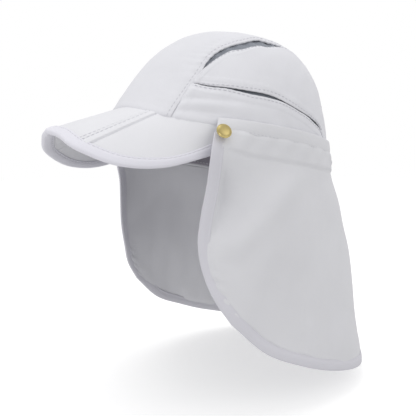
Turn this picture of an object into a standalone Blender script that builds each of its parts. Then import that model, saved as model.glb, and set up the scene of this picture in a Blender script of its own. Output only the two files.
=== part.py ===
"""Cap with a folding brim and a long neck flap, in metres, +Z up.

The wearer faces -Y and the wearer's left is +X. The origin is the middle of the crown's rim, where the head sits.
Azimuths are degrees from +X: the front is -90 and the back is 90. The crown is shaped in its own frame,
rim flat, and then leans back by CROWN_TILT.
"""
from math import radians

import bmesh
import bpy
import numpy as np
from mathutils import Matrix

# Crown
HEAD_HALF_LENGTH = 0.101
HEAD_HALF_WIDTH = 0.083
RIM_SQUARENESS = 2.2
CROWN_HEIGHT = 0.105
CROWN_TOP_SHIFT = 0.0124
CROWN_TILT = radians(9.3)
CENTRE_HALF_WIDTH = 0.055
VENT_OPENING = 0.009
VENT_RISE = 0.0735
SLIT_OPENING = 0.0016
LINING_OVERLAP = 0.005
LINING_RAISE = 0.003
LINING_GAP = 0.0012
SWEATBAND_HEIGHT = 0.027
SWEATBAND_RAISE = 0.002

# Brim
BRIM_SEAM_LOW = 0.0155
BRIM_SEAM_RISE = 0.0095
BRIM_SPREAD = 57.0
BRIM_SEAM_END = 9.0
BRIM_TUCK = 0.0012
BRIM_HALF_WIDTH = 0.0735
BRIM_FRONT = 0.1405
BRIM_NOSE_HEIGHT = 0.0195
BRIM_ARCH = 0.024
BRIM_THICKNESS = 0.003
BRIM_BINDING_WIDTH = 0.007
FOLD_SHARE = 0.5

# Neck flap
FLAP_BAND_WIDTH = 0.008
FLAP_TOP_FRONT = 0.019
FLAP_TOP_BACK = 0.029
FLAP_STANDOFF = 0.002
FLAP_FRONT_FLARE = 0.0085
FLAP_DROP = 0.184
FLAP_SWING = 0.048
FLAP_HEM_WIDTH = 0.0075
FLAP_FOLD_DEPTH = 0.0035

# Snaps
SNAP_RADIUS = 0.0053
SNAP_HEIGHT = 0.0026
SNAP_AZIMUTH = -31.5
SNAP_DROP = 0.0165
SNAP_CLEARANCE = 0.0012
SNAP_POST_SHARE = 0.36

# Cloth
CLOTH = 0.0012
BINDING = 0.001
GAP = 0.0003
SEAM_GAP = 0.0006
LAYER_GAP = 0.0007
HEM_GAP = 0.0012

# Crown profile exponents: azimuth, plan exponent, height exponent
CROWN_PROFILE = (
    ("front", 0.52, 1.92),
    ("side", 0.65, 0.74),
    ("back", 1.01, 0.97),
)

# Line where the upper and lower side panels part: azimuth, latitude on the crown
SLIT_LINE = (
    (-50.0, 33.0),
    (-42.0, 29.5),
    (-32.0, 25.7),
    (-22.0, 21.7),
    (-6.5, 18.0),
    (7.0, 16.4),
    (24.0, 15.3),
    (33.0, 14.3),
    (42.0, 10.5),
    (50.0, 2.0),
)

# Opening under the centre panel: share of the seam from front to back, share of VENT_OPENING
VENT_LINE = (
    (0.0, 0.0),
    (0.20, 0.0),
    (0.26, 0.25),
    (0.33, 0.75),
    (0.40, 0.65),
    (0.47, 1.0),
    (0.53, 0.60),
    (0.58, 0.40),
    (0.63, 0.25),
    (0.67, 0.0),
    (1.0, 0.0),
)

# Brim outline: share across, shares of half width, front, arch
BRIM_LINE = (
    (0.0, 0.0, 1.0, 0.0),
    (0.25, 0.283, 0.984, 0.16),
    (0.5, 0.566, 0.930, 0.58),
    (0.7, 0.790, 0.770, 0.98),
    (0.85, 0.921, 0.580, 1.0),
    (1.0, 1.0, 0.330, 0.62),
)

# Flap sections: share of the drop, azimuth of the front edge, shares of FLAP_SWING at edge, side, quarter, back
FLAP_SECTIONS = (
    (0.32, -36.0, 0.06, 0.05, 0.20, 0.29),
    (0.46, -38.5, 0.0, 0.06, 0.28, 0.42),
    (0.60, -40.0, -0.045, 0.07, 0.34, 0.56),
    (0.74, -38.0, -0.075, 0.09, 0.395, 0.70),
    (0.88, -32.5, -0.06, 0.11, 0.46, 0.84),
    (1.0, -25.0, -0.02, 0.13, 0.51, 0.98),
)
FLAP_RIM_SHARE = 0.14
FLAP_EDGE_AZIMUTH = -34.0

# Flap lower edge: share of the way from the back to the front edge, share of FLAP_DROP
FLAP_LOWER_LINE = (
    (0.0, 1.0),
    (0.34, 0.973),
    (0.51, 0.919),
    (0.69, 0.844),
    (0.86, 0.760),
    (1.0, 0.634),
)

# Flap folds: azimuth at the top, azimuth at the hem, half width, share of FLAP_FOLD_DEPTH, drop share where it starts
FLAP_FOLDS = (
    (14.0, -33.0, 13.0, 0.7, 0.16),
    (-10.0, -60.0, 13.0, -0.4, 0.16),
    (36.0, 24.0, 9.0, -0.5, 0.2),
    (54.0, 50.0, 9.0, 0.8, 0.15),
    (76.0, 78.0, 9.0, -0.8, 0.2),
)


def clear_scene():
    for old in list(bpy.data.objects):
        bpy.data.objects.remove(old, do_unlink=True)


def material(name, colour, roughness, metallic=0.0):
    made = bpy.data.materials.new(name)
    made.use_nodes = True
    shader = made.node_tree.nodes["Principled BSDF"]
    shader.inputs["Base Color"].default_value = (*colour, 1.0)
    shader.inputs["Roughness"].default_value = roughness
    shader.inputs["Metallic"].default_value = metallic
    return made


def ease(share):
    share = np.clip(share, 0.0, 1.0)
    return share * share * (3.0 - 2.0 * share)


def curve(rows, column, at):
    """Smooth line through a table's rows, by cubic pieces whose slopes come from their neighbours."""
    table = np.array(rows, float)
    x = table[:, 0]
    y = table[:, column]
    steps = np.diff(y) / np.diff(x)
    slopes = np.concatenate([steps[:1], (steps[:-1] + steps[1:]) / 2, steps[-1:]])
    at = np.clip(at, x[0], x[-1])
    i = np.clip(np.searchsorted(x, at) - 1, 0, len(x) - 2)
    width = x[i + 1] - x[i]
    t = (at - x[i]) / width
    start = (2 * t**3 - 3 * t**2 + 1) * y[i] + (t**3 - 2 * t**2 + t) * width * slopes[i]
    end = (3 * t**2 - 2 * t**3) * y[i + 1] + (t**3 - t**2) * width * slopes[i + 1]
    return start + end


def lean(x, y, z):
    """Turns a point of the crown's own frame back by its tilt."""
    return np.stack([x, y * np.cos(CROWN_TILT) + z * np.sin(CROWN_TILT),
                     z * np.cos(CROWN_TILT) - y * np.sin(CROWN_TILT)], -1)


# Crown surface
def profile(azimuth):
    (_, plan_front, rise_front), (_, plan_side, rise_side), (_, plan_back, rise_back) = CROWN_PROFILE
    along = np.sin(azimuth)
    front = np.clip(-along, 0, 1) ** 2
    back = np.clip(along, 0, 1) ** 2
    plan = plan_side + front * (plan_front - plan_side) + back * (plan_back - plan_side)
    rise = rise_side + front * (rise_front - rise_side) + back * (rise_back - rise_side)
    return plan, rise


def rim_radius(azimuth):
    across = np.abs(np.cos(azimuth) / HEAD_HALF_WIDTH) ** RIM_SQUARENESS
    along = np.abs(np.sin(azimuth) / HEAD_HALF_LENGTH) ** RIM_SQUARENESS
    return (across + along) ** (-1 / RIM_SQUARENESS)


def crown_point(azimuth, latitude):
    plan, rise = profile(azimuth)
    latitude = np.clip(latitude, 1e-6, np.pi / 2 - 1e-6)
    reach = rim_radius(azimuth) * np.cos(latitude) ** plan
    height = CROWN_HEIGHT * np.sin(latitude) ** rise
    y = reach * np.sin(azimuth) + CROWN_TOP_SHIFT * np.sin(latitude) ** 2
    return lean(reach * np.cos(azimuth), y, height)


def latitude_at(azimuth, height):
    rise = profile(azimuth)[1]
    return np.arcsin(np.clip(height / CROWN_HEIGHT, 0, 1) ** (1 / rise))


def brim_seam_height(across):
    """Height of the arched brim seam, from the middle of the brim at 0 to its end at 1."""
    share = np.clip(np.abs(across), 0, 1)
    return BRIM_SEAM_LOW + BRIM_SEAM_RISE * (0.5 + 0.5 * np.cos(np.pi * share)) ** 1.5


def crown_lower_edge(azimuth):
    """Height of the crown's lower edge: the arched brim seam in front, the rim at the sides and back."""
    turn = np.abs(np.degrees(azimuth) + 90.0)
    return brim_seam_height(turn / BRIM_SPREAD) * (1 - ease((turn - BRIM_SPREAD - 1.0) / BRIM_SEAM_END))


def seam_line(x, shares):
    """Azimuth and latitude along the crown at a constant distance x from its middle plane, front to back."""
    far = HEAD_HALF_LENGTH * (1 - (abs(x) / HEAD_HALF_WIDTH) ** RIM_SQUARENESS) ** (1 / RIM_SQUARENESS)
    y = -far * np.cos(np.linspace(0, np.pi, 1200))
    x_safe = max(abs(x), 1e-5)
    azimuth = np.arctan2(y, x_safe)
    plan = profile(azimuth)[0]
    latitude = np.arccos(np.clip(np.hypot(x_safe, y) / rim_radius(azimuth), 0, 1) ** (1 / plan))
    above = latitude >= latitude_at(azimuth, crown_lower_edge(azimuth)) - 1e-9
    azimuth = azimuth[above]
    latitude = latitude[above]
    points = crown_point(azimuth, latitude)
    run = np.concatenate([[0], np.cumsum(np.linalg.norm(np.diff(points, axis=0), axis=1))])
    return np.interp(shares * run[-1], run, azimuth), np.interp(shares * run[-1], run, latitude)


def normals(points):
    across = np.gradient(points, axis=0)
    along = np.gradient(points, axis=1)
    out = np.cross(across, along)
    return out / np.linalg.norm(out, axis=-1, keepdims=True)


# Sheets
def sheet(name, points, thickness, side, look, group):
    """A grid whose vertices take the given points, made solid to one side: 1 along its normals, -1 against."""
    rows, columns = points.shape[:2]
    mesh = bmesh.new()
    bmesh.ops.create_grid(mesh, x_segments=rows - 1, y_segments=columns - 1, size=0.5)
    for vertex in mesh.verts:
        i = round((vertex.co.x + 0.5) * (rows - 1))
        j = round((vertex.co.y + 0.5) * (columns - 1))
        vertex.co = points[i, j]
    data = bpy.data.meshes.new(name)
    mesh.to_mesh(data)
    mesh.free()
    data.shade_smooth()
    made = bpy.data.objects.new(name, data)
    group.objects.link(made)
    data.materials.append(look)
    solid = made.modifiers.new("Thickness", "SOLIDIFY")
    solid.thickness = thickness
    solid.offset = side
    solid.use_even_offset = True
    return made


def channel(name, edge, inset, edge_normal, inset_normal, half_thickness, gap, both_sides, look, group):
    """A binding folded round a sheet's edge: edge and inset are the lines that it covers outside, or both sides."""
    away = edge - inset
    away /= np.linalg.norm(away, axis=-1, keepdims=True)
    clear = half_thickness + gap
    lines = [inset + inset_normal * clear, edge + edge_normal * clear + away * gap]
    if both_sides:
        lines.append(edge + away * gap - edge_normal * clear)
        lines.append(inset - inset_normal * clear)
    else:
        lines.append(edge + away * gap - edge_normal * half_thickness)
    points = np.stack(lines, 1)
    if np.mean(np.sum(normals(points)[:, 1] * (away + edge_normal), -1)) < 0:
        points = points[:, ::-1]
    return sheet(name, points, BINDING, 1, look, group)


# Crown panels
def build_crown(looks, group):
    half = CENTRE_HALF_WIDTH - SEAM_GAP / 2
    lines = np.linspace(-half, half, 13)
    shares = np.linspace(0, 1, 25)
    columns = []
    for x in lines:
        azimuth, latitude = seam_line(x, shares)
        column = crown_point(azimuth, latitude)
        column[:, 0] = x
        columns.append(column)
    points = np.stack(columns, 0)
    sheet("crown_centre_panel", points, CLOTH, -1, looks["crown"], group)
    for name, mirror in (("left", 1), ("right", -1)):
        build_side(name, mirror, looks, group)


def place(points, mirror):
    """Puts a patch of the wearer's left side on either side, with its normals outward."""
    if mirror > 0:
        return points
    return (points * np.array([-1, 1, 1]))[::-1]


def blend(low, high, shares):
    return low[:, None] + (high - low)[:, None] * shares[None]


def build_side(name, mirror, looks, group):
    along = np.linspace(0, 1, 23)
    across = np.linspace(0, 1, 8)
    seam_x = CENTRE_HALF_WIDTH + SEAM_GAP / 2
    rows = np.array(SLIT_LINE)
    slit_azimuth = np.interp(along, np.linspace(0, 1, len(rows)), rows[:, 0])
    slit_latitude = np.radians(curve(SLIT_LINE, 1, slit_azimuth))
    slit_azimuth = np.radians(slit_azimuth)
    whole = np.linspace(0, 1, 401)
    slit_share = np.interp(slit_latitude[0], seam_line(seam_x, whole)[1][:120], whole[:120])

    # Upper panel, from the slit to the centre seam and its vent
    sway = ease((along - 0.7) / 0.3) * radians(0.8)
    shares = np.linspace(slit_share + 0.02, 1, 23)
    top_azimuth, top_latitude = seam_line(seam_x, shares)
    top_latitude = top_latitude - curve(VENT_LINE, 1, shares) * VENT_OPENING / VENT_RISE
    lift = (SLIT_OPENING + SEAM_GAP) / CROWN_HEIGHT
    low_latitude = np.minimum(slit_latitude + lift, top_latitude - radians(1.5))
    azimuth = blend(slit_azimuth + sway, top_azimuth, across)
    latitude = blend(low_latitude, top_latitude, across)
    points = crown_point(azimuth, latitude)
    points[..., 0] = np.maximum(points[..., 0], seam_x)
    sheet("side_upper_panel_" + name, place(points, mirror), CLOTH, -1, looks["crown"], group)

    # Lower panel, from the rim or brim seam to the slit, its front edge along the centre seam
    front_azimuth, front_latitude = seam_line(seam_x, across * (slit_share - 0.006))
    low_azimuth = np.linspace(front_azimuth[0], slit_azimuth[-1] - radians(4.0), 23)
    low_latitude = latitude_at(low_azimuth, crown_lower_edge(low_azimuth))
    high_latitude = np.maximum(slit_latitude - SEAM_GAP / CROWN_HEIGHT, low_latitude + radians(1.2))
    azimuth = blend(low_azimuth, slit_azimuth - 2.5 * sway, across)
    latitude = blend(low_latitude, high_latitude, across)
    fade = (1 - along)[:, None] ** 3
    azimuth = azimuth + fade * (front_azimuth - azimuth[0])[None]
    latitude = latitude + fade * (front_latitude - latitude[0])[None]
    points = crown_point(azimuth, latitude)
    points[..., 0] = np.maximum(points[..., 0], seam_x)
    sheet("side_lower_panel_" + name, place(points, mirror), CLOTH, -1, looks["crown"], group)

    # Mesh lining behind both openings
    shares = np.linspace(slit_share + 0.05, 0.84, 17)
    top_azimuth, top_latitude = seam_line(CENTRE_HALF_WIDTH - LINING_OVERLAP, shares)
    low_azimuth = np.radians(np.linspace(-47.0, 40.0, 17))
    band_top = crown_lower_edge(low_azimuth) + SWEATBAND_RAISE + SWEATBAND_HEIGHT + LINING_RAISE
    low_latitude = np.radians(curve(SLIT_LINE, 1, np.degrees(low_azimuth)) - 3.0)
    low_latitude = np.maximum(low_latitude, latitude_at(low_azimuth, band_top))
    shares = np.linspace(0, 1, 6)
    points = crown_point(blend(low_azimuth, top_azimuth, shares), blend(low_latitude, top_latitude, shares))
    points = points - normals(points) * (CLOTH + LINING_GAP)
    sheet("mesh_lining_" + name, place(points, mirror), BINDING, -1, looks["mesh"], group)


def build_sweatband(looks, group):
    azimuth = np.radians(np.linspace(-269.7, 89.7, 57))
    low = crown_lower_edge(azimuth) + SWEATBAND_RAISE
    heights = blend(low, low + SWEATBAND_HEIGHT, np.linspace(0, 1, 3))
    around = np.repeat(azimuth[:, None], 3, 1)
    points = crown_point(around, latitude_at(around, heights))
    points = points - normals(points) * (CLOTH + LAYER_GAP)
    sheet("sweatband", points, CLOTH, -1, looks["band"], group)


# Brim
def brim_point(across, out):
    """across runs -1 to 1 over the brim, out runs 0 at the crown to 1 at the edge."""
    azimuth = np.radians(-90 + BRIM_SPREAD * across)
    seam = crown_point(azimuth, latitude_at(azimuth, brim_seam_height(across)))
    seam = seam * np.array([1 - CLOTH / HEAD_HALF_WIDTH, 1 - CLOTH / HEAD_HALF_LENGTH, 1])
    seam = seam - np.array([0, 0, BRIM_TUCK + BRIM_THICKNESS / 2])
    side = np.sign(across)
    share = np.abs(across)
    edge = np.stack([side * curve(BRIM_LINE, 1, share) * BRIM_HALF_WIDTH,
                     -curve(BRIM_LINE, 2, share) * BRIM_FRONT,
                     BRIM_NOSE_HEIGHT - curve(BRIM_LINE, 3, share) * BRIM_ARCH], -1)
    return seam + (edge - seam) * out[..., None]


def build_brim(looks, group):
    slack = GAP / 2 / BRIM_HALF_WIDTH
    leaves = (
        ("brim_right_leaf", -1.0, -FOLD_SHARE - slack, 9),
        ("brim_centre_leaf", -FOLD_SHARE + slack, FOLD_SHARE - slack, 15),
        ("brim_left_leaf", FOLD_SHARE + slack, 1.0, 9),
    )
    for name, start, end, count in leaves:
        across, out = np.meshgrid(np.linspace(start, end, count), np.linspace(0, 1, 7), indexing="ij")
        sheet(name, brim_point(across, out), BRIM_THICKNESS, 0, looks["brim"], group)
    stations = np.linspace(-1, 1, 41)
    inset_out = 1 - BRIM_BINDING_WIDTH / (BRIM_FRONT - HEAD_HALF_LENGTH)
    lines = np.stack([brim_point(stations, np.full(41, out)) for out in (inset_out, 1.0)], 1)
    across, out = np.meshgrid(stations, np.array([inset_out, 0.999, 1.0]), indexing="ij")
    normal = normals(brim_point(across, out))
    away = lines[:, 1] - lines[:, 0]
    length = np.linalg.norm(away, axis=-1, keepdims=True)
    inset = lines[:, 1] - away / length * BRIM_BINDING_WIDTH
    channel("brim_edge_binding", lines[:, 1], inset, normal[:, 2], normal[:, 0],
            BRIM_THICKNESS / 2, LAYER_GAP, True, looks["brim"], group)


# Neck flap
def flap_top_height(azimuth):
    share = (np.degrees(azimuth) - FLAP_EDGE_AZIMUTH) / (90 - FLAP_EDGE_AZIMUTH)
    return FLAP_TOP_FRONT + (FLAP_TOP_BACK - FLAP_TOP_FRONT) * np.clip(share, 0, 1) ** 0.8


def outside(points, distance):
    """Moves points of the crown outward in plan."""
    flat = points * np.array([1, 1, 0])
    return points + flat / np.linalg.norm(flat, axis=-1, keepdims=True) * distance


def flap_rows(side):
    """The flap's section lines from its top edge down; side runs -1 to 1 and its size 1 is a front edge."""
    share = np.abs(side)
    turn = np.where(side < 0, -1.0, 1.0)
    azimuth = np.radians(90 - share * (90 - FLAP_EDGE_AZIMUTH))
    mirror = np.stack([turn, np.ones_like(turn), np.ones_like(turn)], -1)
    top = outside(crown_point(azimuth, latitude_at(azimuth, flap_top_height(azimuth))), FLAP_STANDOFF)
    flare = FLAP_FRONT_FLARE * ease((share - 0.8) / 0.2)
    middle = outside(crown_point(azimuth, latitude_at(azimuth, flap_top_height(azimuth) / 2)), FLAP_STANDOFF)
    middle = outside(middle, flare[..., None] * 0.6)
    rim = outside(crown_point(azimuth, 0 * azimuth), FLAP_STANDOFF)
    rim = outside(rim, flare[..., None])
    low = -curve(FLAP_LOWER_LINE, 1, share) * FLAP_DROP
    rows = [(0.0, top), (FLAP_RIM_SHARE / 2, middle), (FLAP_RIM_SHARE, rim)]
    for drop, edge, at_edge, at_side, at_quarter, at_back in FLAP_SECTIONS:
        azimuth = 90 - share * (90 - edge)
        knots = ((edge, at_edge), (0.0, at_side), (45.0, at_quarter), (90.0, at_back), (135.0, at_quarter))
        swing = curve(knots, 1, azimuth) * FLAP_SWING
        azimuth = np.radians(azimuth)
        reach = rim_radius(azimuth) + FLAP_STANDOFF + swing
        for fold in FLAP_FOLDS:
            reach = reach + fold_offset(fold, np.degrees(azimuth), drop)
        height = top[..., 2] + (low - top[..., 2]) * drop
        rows.append((drop, np.stack([reach * np.cos(azimuth), reach * np.sin(azimuth), height], -1)))
    return [drop for drop, _ in rows], [points * mirror for _, points in rows]


def fold_offset(fold, azimuth, drop):
    at_top, at_hem, half_width, depth, start = fold
    middle = at_top + (at_hem - at_top) * drop
    return FLAP_FOLD_DEPTH * depth * ease((drop - start) / 0.3) * np.exp(-((azimuth - middle) / half_width) ** 2)


def flap_point(side, down):
    drops, rows = flap_rows(side)
    rows = np.stack(rows, 0)
    result = np.zeros_like(rows[0])
    slopes = np.gradient(rows, np.array(drops), axis=0)
    for k in range(len(drops) - 1):
        width = drops[k + 1] - drops[k]
        t = ((down - drops[k]) / width)[..., None]
        inside = (t >= 0) & ((t < 1) | (k == len(drops) - 2))
        start = (2 * t**3 - 3 * t**2 + 1) * rows[k] + (t**3 - 2 * t**2 + t) * width * slopes[k]
        end = (3 * t**2 - 2 * t**3) * rows[k + 1] + (t**3 - t**2) * width * slopes[k + 1]
        result = np.where(inside, start + end, result)
    return result


def flap_normal(side, down):
    step = 0.002
    across = flap_point(side - step, down) - flap_point(side + step, down)
    along = flap_point(side, np.minimum(down + step, 1)) - flap_point(side, np.maximum(down - step, 0))
    out = np.cross(along, across)
    return out / np.linalg.norm(out, axis=-1, keepdims=True)


def build_flap(looks, group):
    edge_length = FLAP_TOP_FRONT + FLAP_DROP * FLAP_LOWER_LINE[-1][1]
    half_girth = HEAD_HALF_LENGTH + HEAD_HALF_WIDTH
    band_down = FLAP_BAND_WIDTH / edge_length
    hem_start = band_down + (BINDING + 2 * LAYER_GAP) / edge_length
    hem_down = 1 - FLAP_HEM_WIDTH / edge_length
    hem_side = 1 - FLAP_HEM_WIDTH / half_girth
    sides = np.concatenate([[1], np.linspace(hem_side, -hem_side, 39), [-1]])
    downs = np.concatenate([[0, band_down, hem_start], np.linspace(hem_start, hem_down, 13)[1:], [1]])
    side, down = np.meshgrid(sides, downs, indexing="ij")
    sheet("neck_flap", flap_point(side, down), CLOTH, 0, looks["flap"], group)
    add_channel("flap_top_band", sides, 0 * sides, sides, 0 * sides + band_down,
                HEM_GAP, False, looks["flap"], group)

    # Hem: down one front edge, round the lower edge and up the other
    front = downs[2:-1]
    turn = 0.01
    front_inset = np.concatenate([front[:-1], [hem_down - turn]])
    lower_inset = np.concatenate([[hem_side], [hem_side - turn / 2], sides[2:-2], [turn / 2 - hem_side, -hem_side]])
    edge_side = np.concatenate([0 * front + 1, sides, 0 * front - 1])
    edge_down = np.concatenate([front, 0 * sides + 1, front[::-1]])
    inset_side = np.concatenate([0 * front + hem_side, lower_inset, 0 * front - hem_side])
    inset_down = np.concatenate([front_inset, 0 * sides + hem_down, front_inset[::-1]])
    add_channel("flap_edge_hem", edge_side, edge_down, inset_side, inset_down,
                HEM_GAP, True, looks["hem"], group)


def add_channel(name, edge_side, edge_down, inset_side, inset_down, gap, both_sides, look, group):
    channel(name, flap_point(edge_side, edge_down), flap_point(inset_side, inset_down),
            flap_normal(edge_side, edge_down), flap_normal(inset_side, inset_down),
            CLOTH / 2, gap, both_sides, look, group)


# Snaps
def build_snaps(looks, group):
    post = (SNAP_CLEARANCE - GAP) / SNAP_HEIGHT
    profile_line = (
        (0.0, 1.0),
        (0.35, 0.94),
        (0.66, 0.72),
        (0.80, 0.45),
        (0.88, 0.55),
        (0.97, 0.5),
        (1.0, 0.3),
        (0.94, 0.0),
        (SNAP_POST_SHARE, 0.0),
        (SNAP_POST_SHARE, -post),
        (0.0, -post),
    )
    for name, mirror in (("left", 1), ("right", -1)):
        side = np.array([mirror * (90 - SNAP_AZIMUTH) / (90 - FLAP_EDGE_AZIMUTH)])
        down = np.array([SNAP_DROP / (FLAP_TOP_FRONT + FLAP_DROP)])
        normal = flap_normal(side, down)[0]
        lift = CLOTH / 2 + HEM_GAP + BINDING + SNAP_CLEARANCE
        centre = flap_point(side, down)[0] + normal * lift
        mesh = bmesh.new()
        line = [mesh.verts.new((r * SNAP_RADIUS, 0, z * SNAP_HEIGHT)) for r, z in profile_line]
        for a, b in zip(line, line[1:]):
            mesh.edges.new((a, b))
        data = bpy.data.meshes.new("snap_" + name)
        mesh.to_mesh(data)
        mesh.free()
        made = bpy.data.objects.new("snap_" + name, data)
        group.objects.link(made)
        data.materials.append(looks["brass"])
        turned = made.modifiers.new("Turned", "SCREW")
        turned.steps = 20
        turned.render_steps = 20
        turned.use_merge_vertices = True
        turned.merge_threshold = 0.00001
        across = np.cross((0, 0, 1), normal)
        across /= np.linalg.norm(across)
        up = np.cross(normal, across)
        made.matrix_world = Matrix.Translation(centre) @ Matrix(np.stack([across, up, normal], 1)).to_4x4()


def main():
    clear_scene()
    group = bpy.data.collections.new("legionnaire_cap")
    bpy.context.scene.collection.children.link(group)
    looks = {
        "crown": material("white_cloth", (0.72, 0.72, 0.76), 0.85),
        "brim": material("brim_cloth", (0.78, 0.78, 0.81), 0.85),
        "flap": material("flap_cloth", (0.68, 0.68, 0.71), 0.85),
        "hem": material("hem_cloth", (0.66, 0.66, 0.70), 0.85),
        "mesh": material("grey_mesh", (0.16, 0.15, 0.17), 0.9),
        "band": material("sweatband_cloth", (0.45, 0.43, 0.46), 0.9),
        "brass": material("brass", (0.62, 0.48, 0.22), 0.3, 1.0),
    }
    build_crown(looks, group)
    build_sweatband(looks, group)
    build_brim(looks, group)
    build_flap(looks, group)
    build_snaps(looks, group)


main()
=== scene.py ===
"""Dresses the legionnaire cap's frame: fine cloth panels, stitched seams, mesh vents and brass snaps.

Metres, +Z up. The wearer faces -Y and the wearer's left is +X. Azimuths are degrees from +X, the front is -90.
"""
from math import cos, pi, radians, sin

import bmesh
import bpy
import numpy as np
from mathutils import Matrix, Vector, noise
from mathutils.bvhtree import BVHTree


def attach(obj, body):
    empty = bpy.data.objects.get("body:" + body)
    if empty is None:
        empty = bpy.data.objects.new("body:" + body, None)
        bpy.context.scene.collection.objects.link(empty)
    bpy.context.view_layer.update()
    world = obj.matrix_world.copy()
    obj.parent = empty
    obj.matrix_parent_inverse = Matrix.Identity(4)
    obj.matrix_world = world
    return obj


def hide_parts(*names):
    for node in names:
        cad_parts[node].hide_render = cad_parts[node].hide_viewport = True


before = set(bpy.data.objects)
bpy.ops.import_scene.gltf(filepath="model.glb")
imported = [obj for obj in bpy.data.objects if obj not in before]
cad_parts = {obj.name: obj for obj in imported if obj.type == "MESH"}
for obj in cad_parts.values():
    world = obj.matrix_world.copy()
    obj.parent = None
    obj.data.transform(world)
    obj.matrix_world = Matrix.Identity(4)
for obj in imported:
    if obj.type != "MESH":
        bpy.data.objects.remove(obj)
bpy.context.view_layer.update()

# Camera, as fitted to the photograph
CAMERA_AZIMUTH = 57.0
CAMERA_ELEVATION = 5.267
CAMERA_DISTANCE = 0.39959
CAMERA_TARGET = (0.00063, -0.00612, -0.04189)
CAMERA_LENS = 39.35
CAMERA_SENSOR = 36.0
FLOOR_HEIGHT = -0.194

# Crown
HEAD_HALF_LENGTH = 0.101
HEAD_HALF_WIDTH = 0.083
RIM_SQUARENESS = 2.2
CROWN_HEIGHT = 0.105
CROWN_TOP_SHIFT = 0.0124
CROWN_TILT = radians(9.3)
CENTRE_HALF_WIDTH = 0.055
VENT_OPENING = 0.0115
VENT_RISE = 0.0735
SWEATBAND_HEIGHT = 0.027
SWEATBAND_RAISE = 0.002
LINING_OVERLAP = 0.005
LINING_GAP = 0.0012

# Brim
BRIM_SEAM_LOW = 0.0155
BRIM_SEAM_RISE = 0.0095
BRIM_SPREAD = 57.0
BRIM_SEAM_END = 9.0
SEAM_OVERLAP = 0.0014
BRIM_TUCK = -0.0002
BRIM_HALF_WIDTH = 0.0735
BRIM_FRONT = 0.1405
BRIM_NOSE_HEIGHT = 0.0195
BRIM_ARCH = 0.024
BRIM_THICKNESS = 0.003
BRIM_BINDING_WIDTH = 0.007
FOLD_SHARE = 0.5

# Neck flap
FLAP_BAND_WIDTH = 0.008
FLAP_TOP_FRONT = 0.019
FLAP_TOP_BACK = 0.029
FLAP_STANDOFF = 0.002
FLAP_FRONT_FLARE = 0.0085
FLAP_DROP = 0.184
FLAP_SWING = 0.048
FLAP_HEM_WIDTH = 0.0075
FLAP_FOLD_DEPTH = 0.0035
FLAP_RIM_SHARE = 0.14
FLAP_EDGE_AZIMUTH = -34.0
FLAP_BACK_EASE = 0.0038

# Snaps
SNAP_RADIUS = 0.0053
SNAP_HEIGHT = 0.0026
SNAP_AZIMUTH = -31.5
SNAP_DROP = 0.0165
SNAP_CLEARANCE = 0.0012

# Cloth
CLOTH = 0.0012
BINDING = 0.001
LAYER_GAP = 0.0007
HEM_GAP = 0.0012
HEM_CLOTH = 0.0005
FLAP_CLOTH = 0.0007
HEM_CLEAR = 0.0002
STITCH_LENGTH = 0.0024
STITCH_PITCH = 0.0034
STITCH_RADIUS = 0.00028

# Crown profile exponents: azimuth, plan exponent, height exponent
CROWN_PROFILE = (
    ("front", 0.52, 1.92),
    ("side", 0.65, 0.74),
    ("back", 1.01, 0.97),
)

# Line where the upper and lower side panels part: azimuth, latitude, width of the slit there in mm
SLIT_LINE = (
    (-50.0, 33.0, 0.3),
    (-42.0, 29.5, 0.5),
    (-32.0, 25.7, 0.7),
    (-26.0, 23.2, 1.6),
    (-19.0, 20.7, 2.6),
    (-6.5, 18.0, 2.2),
    (2.0, 16.9, 0.6),
    (10.0, 16.2, 0.3),
    (18.0, 15.7, 0.8),
    (26.0, 15.1, 1.8),
    (34.0, 14.1, 1.5),
    (42.0, 10.5, 0.6),
    (50.0, 2.0, 0.3),
)

# Vent under the centre panel: share of the seam, share of VENT_OPENING below it, mm that the upper edge stands in
VENT_LINE = (
    (0.0, 0.0, 0.0),
    (0.17, 0.0, 0.0),
    (0.19, 0.04, 1.0),
    (0.21, 0.08, 1.7),
    (0.25, 0.16, 2.2),
    (0.30, 0.26, 1.4),
    (0.35, 0.60, 0.0),
    (0.39, 0.50, 0.6),
    (0.41, 0.46, 0.8),
    (0.44, 0.52, -1.2),
    (0.47, 0.36, -0.8),
    (0.50, 0.12, 0.0),
    (0.53, 0.0, 0.0),
    (1.0, 0.0, 0.0),
)

# Brim outline: share across, shares of half width, front, arch
BRIM_LINE = (
    (0.0, 0.0, 1.0, 0.0),
    (0.25, 0.283, 0.984, 0.16),
    (0.5, 0.566, 0.930, 0.58),
    (0.7, 0.790, 0.770, 0.98),
    (0.85, 0.921, 0.580, 1.0),
    (1.0, 1.0, 0.330, 0.62),
)

# Flap sections: share of the drop, azimuth of the front edge, shares of FLAP_SWING at edge, side, quarter, back
FLAP_SECTIONS = (
    (0.32, -36.0, 0.06, 0.07, 0.21, 0.28),
    (0.46, -38.5, 0.0, 0.08, 0.32, 0.45),
    (0.60, -40.0, -0.045, 0.08, 0.40, 0.62),
    (0.74, -38.0, -0.075, 0.09, 0.455, 0.77),
    (0.88, -32.5, -0.06, 0.11, 0.52, 0.94),
    (1.0, -25.0, -0.02, 0.13, 0.55, 1.07),
)

# Flap lower edge: share of the way from the back to the front edge, share of FLAP_DROP
FLAP_LOWER_LINE = (
    (0.0, 1.0),
    (0.34, 0.973),
    (0.51, 0.919),
    (0.69, 0.844),
    (0.86, 0.760),
    (1.0, 0.634),
)

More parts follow.
